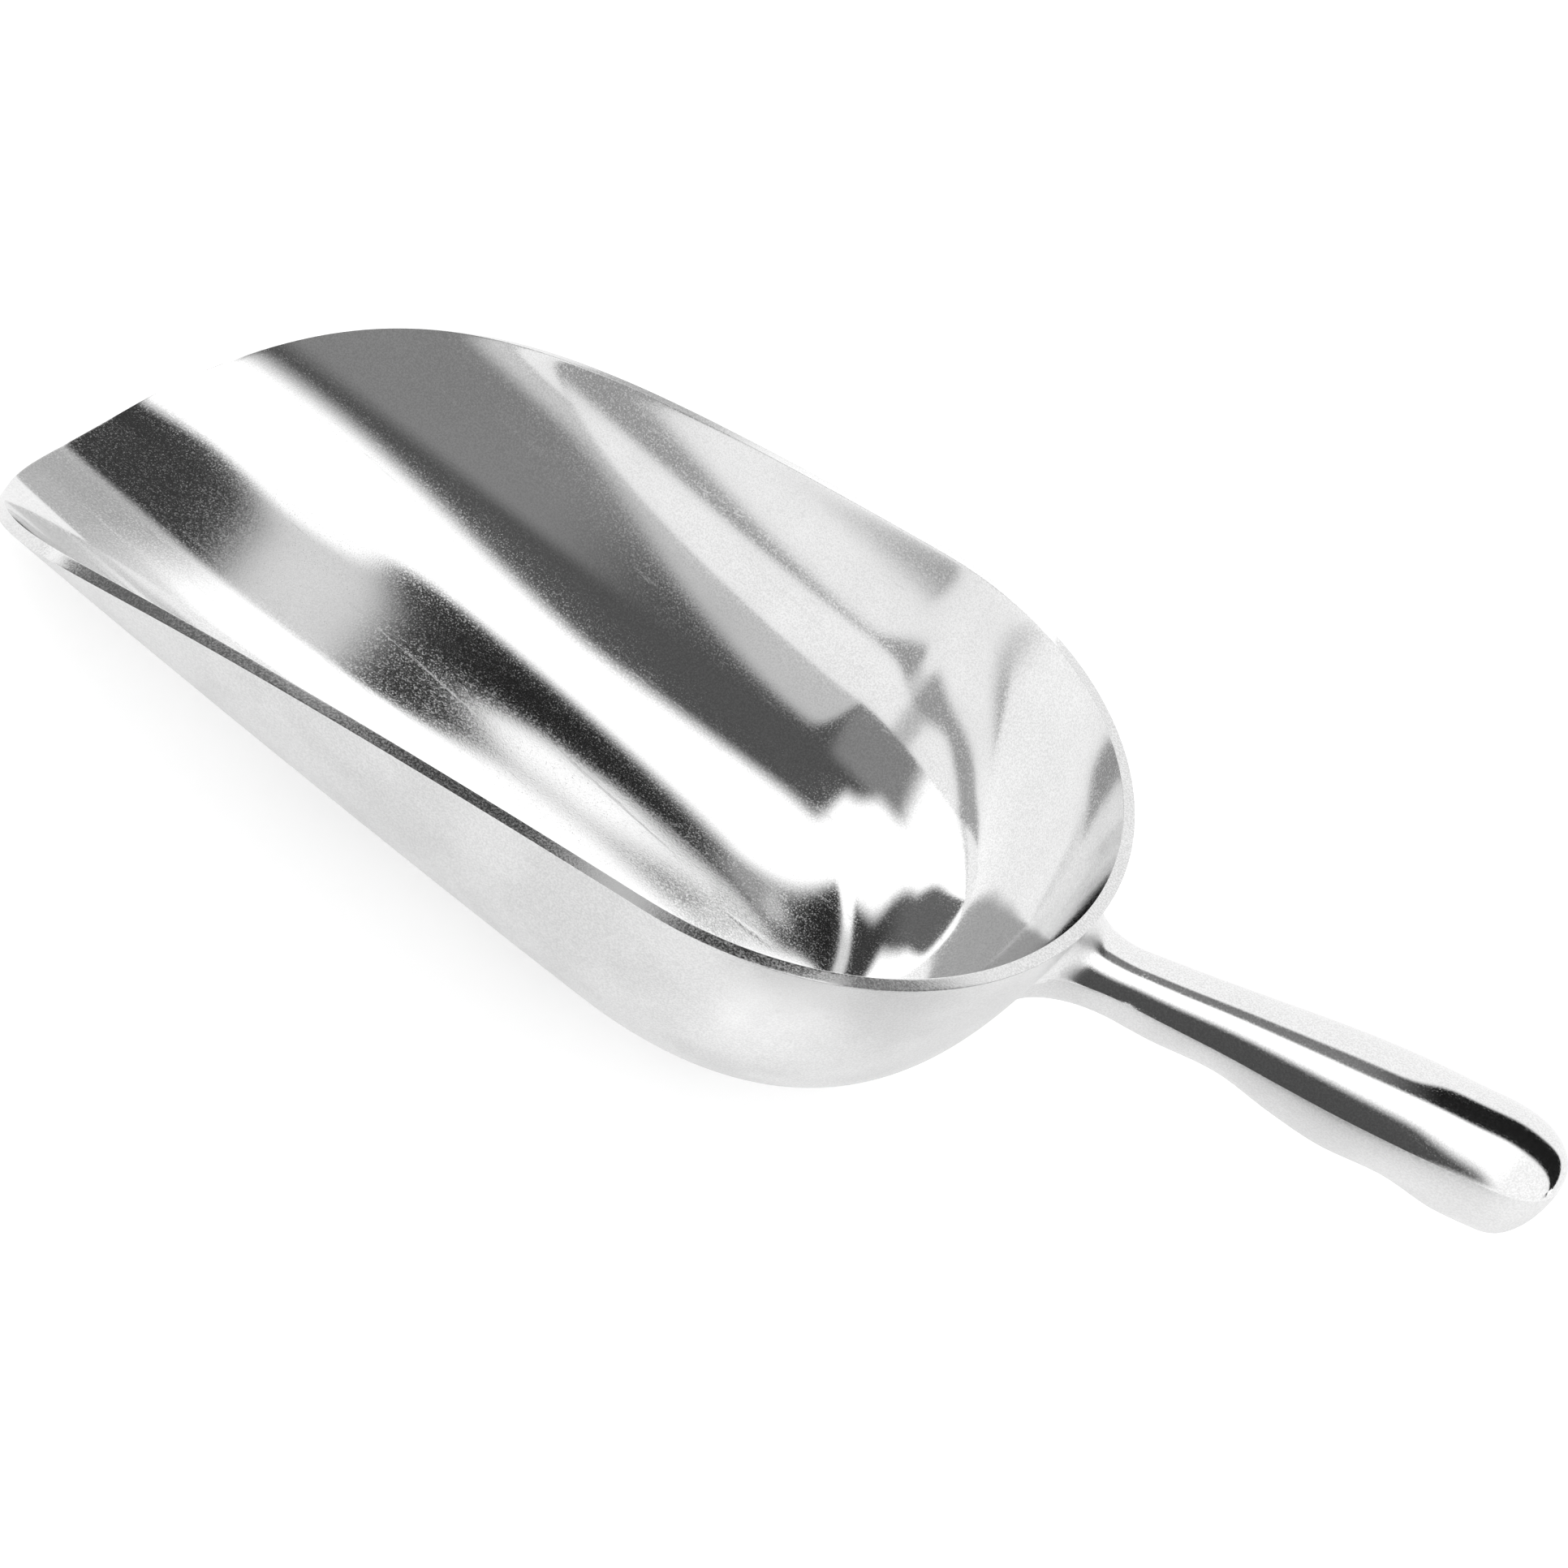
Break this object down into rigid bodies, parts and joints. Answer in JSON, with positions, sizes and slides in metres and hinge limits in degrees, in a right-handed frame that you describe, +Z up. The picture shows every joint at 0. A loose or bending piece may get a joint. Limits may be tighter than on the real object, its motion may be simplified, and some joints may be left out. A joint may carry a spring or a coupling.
{
  "type": "ice scoop",
  "caption": "Deep cast aluminium ice scoop: a round-backed bowl with a sloping rim and a tapering lip, on a contoured grip that rises from the back wall.",
  "frame": {"origin": "on the resting plane, below the centre of the bowl's round back, which is also the middle of the scoop's length and width", "axes": "+X from the lip towards the grip, +Y across the bowl, +Z up from the surface that the bowl rests on"},
  "size_m": [0.4218, 0.1722, 0.1126],
  "materials": {
    "bowl_metal": "tumbled cast aluminium, soft polish inside and satin outside",
    "grip_metal": "cast aluminium, polished crown over a satin belly"
  },
  "bodies": {
    "root": {"bowl": "bowl_metal", "handle_foot": "grip_metal", "handle_grip": "grip_metal"}
  },
  "joints": []
}
